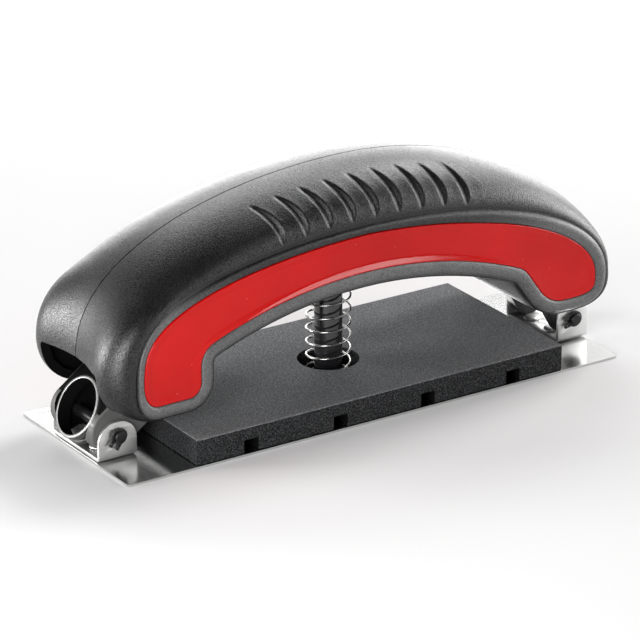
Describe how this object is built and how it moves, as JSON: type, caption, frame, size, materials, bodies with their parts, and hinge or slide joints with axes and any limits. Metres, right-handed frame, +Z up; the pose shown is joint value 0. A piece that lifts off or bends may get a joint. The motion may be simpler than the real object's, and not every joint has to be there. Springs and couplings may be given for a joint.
{
  "type": "adjustable sanding block",
  "caption": "Bridge-handled sanding block with a sprung guide column and a flexible sole that bows to follow curved surfaces.",
  "frame": {"origin": "middle of the sole's underside, on the face that the abrasive covers", "axes": "+X along the sole towards the plain end, +Y across the sole, +Z up towards the crest of the handle"},
  "size_m": [0.2087, 0.07, 0.0836],
  "materials": {
    "spring_steel": "polished",
    "bright_steel": "satin",
    "black_steel": "black oxide",
    "yoke_casting": "satin",
    "foam": "closed-cell foam",
    "bush_nylon": "moulded",
    "shell_plastic": "fine texture",
    "red_cover": "gloss"
  },
  "bodies": {
    "sole": {"base_plate": "spring_steel", "flex_pad": "foam", "guide_column": "black_steel", "column_clip": "black_steel", "return_spring": "bright_steel"},
    "handle": {"handle_shell_near": "shell_plastic", "handle_shell_far": "shell_plastic", "inlay_near": "red_cover", "inlay_far": "red_cover", "guide_bush": "bush_nylon", "spring_washer": "bright_steel", "shell_screw_left_foot": "bright_steel", "shell_screw_left_span": "bright_steel", "shell_screw_right_span": "bright_steel", "shell_screw_right_foot": "bright_steel"},
    "left_end": {"left_bracket": "bright_steel", "left_rivet_near": "bright_steel", "left_rivet_far": "bright_steel", "left_pin": "black_steel", "left_clip_near": "black_steel", "left_clip_far": "black_steel"},
    "right_end": {"right_bracket": "bright_steel", "right_rivet_near": "bright_steel", "right_rivet_far": "bright_steel", "right_pin": "black_steel", "right_clip_near": "black_steel", "right_clip_far": "black_steel"},
    "left_arm": {"left_yoke": "yoke_casting", "end_sleeve": "black_steel"},
    "right_arm": {"right_yoke": "black_steel"}
  },
  "joints": [
    {"name": "handle_press", "type": "slide", "parent": "sole", "child": "handle", "axis": [0, 0, 1], "range_m": [-0.004, 0.004], "stiffness_N_per_m": 3000, "springref_m": 0.0008, "deforming": ["return_spring", "base_plate", "flex_pad"]},
    {"name": "left_flex", "type": "hinge", "parent": "sole", "child": "left_end", "pos_m": [-0.0313, 0, 0.0004], "axis": [0, 1, 0], "range_deg": [-3.85, 3.85]},
    {"name": "right_flex", "type": "hinge", "parent": "sole", "child": "right_end", "pos_m": [0.03375, 0, 0.0004], "axis": [0, 1, 0], "range_deg": [-3.85, 3.85]},
    {"name": "left_pivot", "type": "hinge", "parent": "left_end", "child": "left_arm", "pos_m": [-0.0913, 0, 0.0095], "axis": [0, 1, 0], "range_deg": [-3.85, 3.85]},
    {"name": "right_pivot", "type": "hinge", "parent": "right_end", "child": "right_arm", "pos_m": [0.09375, 0, 0.0095], "axis": [0, 1, 0], "range_deg": [-3.85, 3.85]}
  ],
  "couplings": [
    {"joint": "left_flex", "follows": "handle_press", "rad_per_m": 16.667},
    {"joint": "right_flex", "follows": "handle_press", "rad_per_m": -16.667},
    {"joint": "left_pivot", "follows": "handle_press", "rad_per_m": -16.667},
    {"joint": "right_pivot", "follows": "handle_press", "rad_per_m": 16.667}
  ]
}
